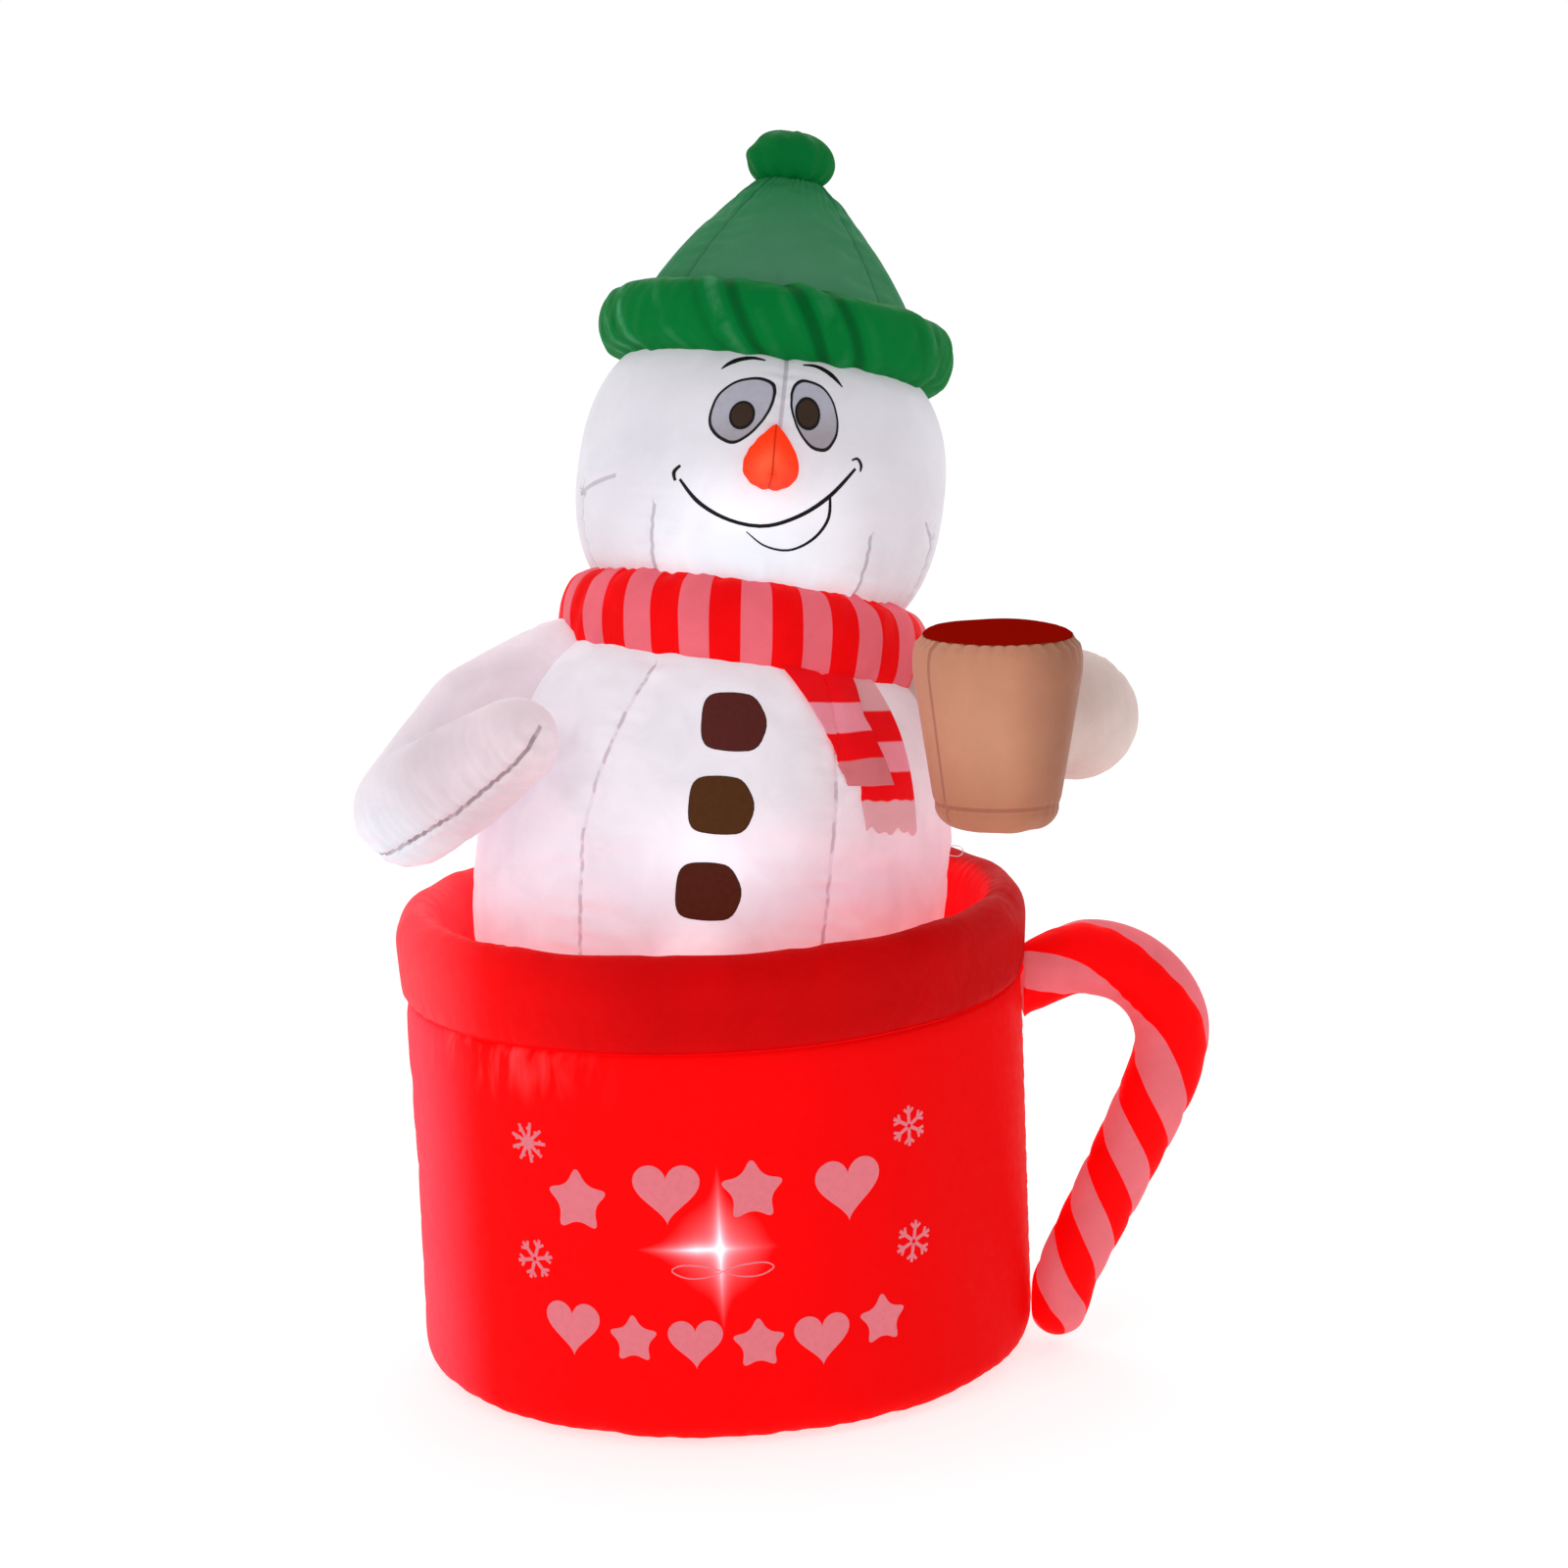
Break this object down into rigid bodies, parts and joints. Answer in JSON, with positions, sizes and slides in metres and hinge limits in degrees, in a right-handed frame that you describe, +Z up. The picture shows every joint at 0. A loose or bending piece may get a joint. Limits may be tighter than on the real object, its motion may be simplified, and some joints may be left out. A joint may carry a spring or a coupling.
{
  "type": "inflatable yard snowman",
  "caption": "Air-blown snowman with a knitted-style hat, scarf and hot-drink cup, standing in a big mug with a candy-cane handle; built-in blower and lights.",
  "frame": {"origin": "centre of the mug's base, on the ground", "axes": "+Z up, -Y the front that the snowman faces, +X the side of the candy-cane handle"},
  "size_m": [1.2391, 0.933, 1.8021],
  "materials": {
    "red_fabric": "coated polyester, slightly shiny, lit from inside",
    "white_fabric": "thin translucent polyester, lit from inside",
    "green_fabric": "coated polyester",
    "striped_fabric": "coated polyester in sewn red and pink stripes",
    "tan_fabric": "coated polyester",
    "brown_fabric": "coated polyester",
    "orange_fabric": "coated polyester",
    "button_fabric": "printed polyester",
    "grey_print": "printed polyester",
    "black_print": "printed polyester",
    "black_plastic": "moulded, fine grain",
    "white_plastic": "moulded",
    "black_rubber": "matte",
    "steel": "zinc plated",
    "motor_steel": "drawn can",
    "cable_sleeve": "soft PVC sleeve",
    "lamp_plastic": "moulded",
    "lamp_lens": "frosted diffuser",
    "led_board": "board with one LED",
    "webbing": "flat woven tape",
    "label_fabric": "blank satin label",
    "zipper_fabric": "woven tape",
    "zipper_nylon": "nylon coil",
    "zipper_metal": "dark nickel",
    "brass": "pressed"
  },
  "bodies": {
    "envelope": {"mug_wall": "red_fabric", "mug_base": "red_fabric", "mug_rim": "red_fabric", "mug_deck": "red_fabric", "candy_cane_handle": "striped_fabric", "body_skin": "white_fabric", "neck_baffle": "white_fabric", "head_skin": "white_fabric", "hat_baffle": "green_fabric", "hat_crown": "green_fabric", "hat_brim": "green_fabric", "pompom": "green_fabric", "scarf_ring": "striped_fabric", "right_arm": "white_fabric", "left_arm": "white_fabric", "cup_skin": "tan_fabric", "cup_drink": "brown_fabric", "carrot_nose": "orange_fabric", "button_top": "button_fabric", "button_middle": "button_fabric", "button_bottom": "button_fabric", "eye_patch_right": "grey_print", "eye_patch_left": "grey_print", "pupil_right": "black_print", "pupil_left": "black_print", "blower_panel": "red_fabric", "blower_housing": "black_plastic", "blower_nut": "black_plastic", "blower_gasket": "black_rubber", "intake_grille": "black_plastic", "grille_screws": "steel", "motor": "motor_steel", "motor_spider": "black_plastic", "outlet_guard": "black_plastic", "dc_inlet": "black_plastic", "light_socket": "black_plastic", "light_cable": "cable_sleeve", "lamp_holders": "lamp_plastic", "lamp_lenses": "lamp_lens", "lamp_boards": "led_board", "lamp_straps": "webbing", "zipper_tape": "zipper_fabric", "zipper_coil": "zipper_nylon", "zipper_stops": "zipper_metal", "tether_loops": "webbing", "stake_loops": "red_fabric", "stake_grommets": "brass", "deck_straps": "red_fabric", "care_label": "label_fabric"},
    "impeller_rotor": {"impeller": "white_plastic", "impeller_shaft": "steel"},
    "scarf_tails": {"scarf_tail_front": "striped_fabric", "scarf_tail_back": "striped_fabric"},
    "zipper_slider": {"zipper_slider": "zipper_metal"},
    "zipper_pull": {"zipper_pull": "zipper_metal"}
  },
  "joints": [
    {"name": "impeller_spin", "type": "hinge", "parent": "envelope", "child": "impeller_rotor", "pos_m": [0, 0.452, 0.135], "axis": [0, 1, 0], "continuous": true},
    {"name": "scarf_tail_swing", "type": "hinge", "parent": "envelope", "child": "scarf_tails", "pos_m": [0.20297, -0.14087, 1.02917], "axis": [-0.7898, -0.5821, 0.1936], "range_deg": [0, 25]},
    {"name": "zipper_slide", "type": "slide", "parent": "envelope", "child": "zipper_slider", "axis": [0, 0, -1], "range_m": [0, 0.25]},
    {"name": "zipper_pull_swing", "type": "hinge", "parent": "zipper_slider", "child": "zipper_pull", "pos_m": [0.2297, 0.39785, 0.398], "axis": [0.866, -0.5, 0], "range_deg": [0, 170]}
  ]
}
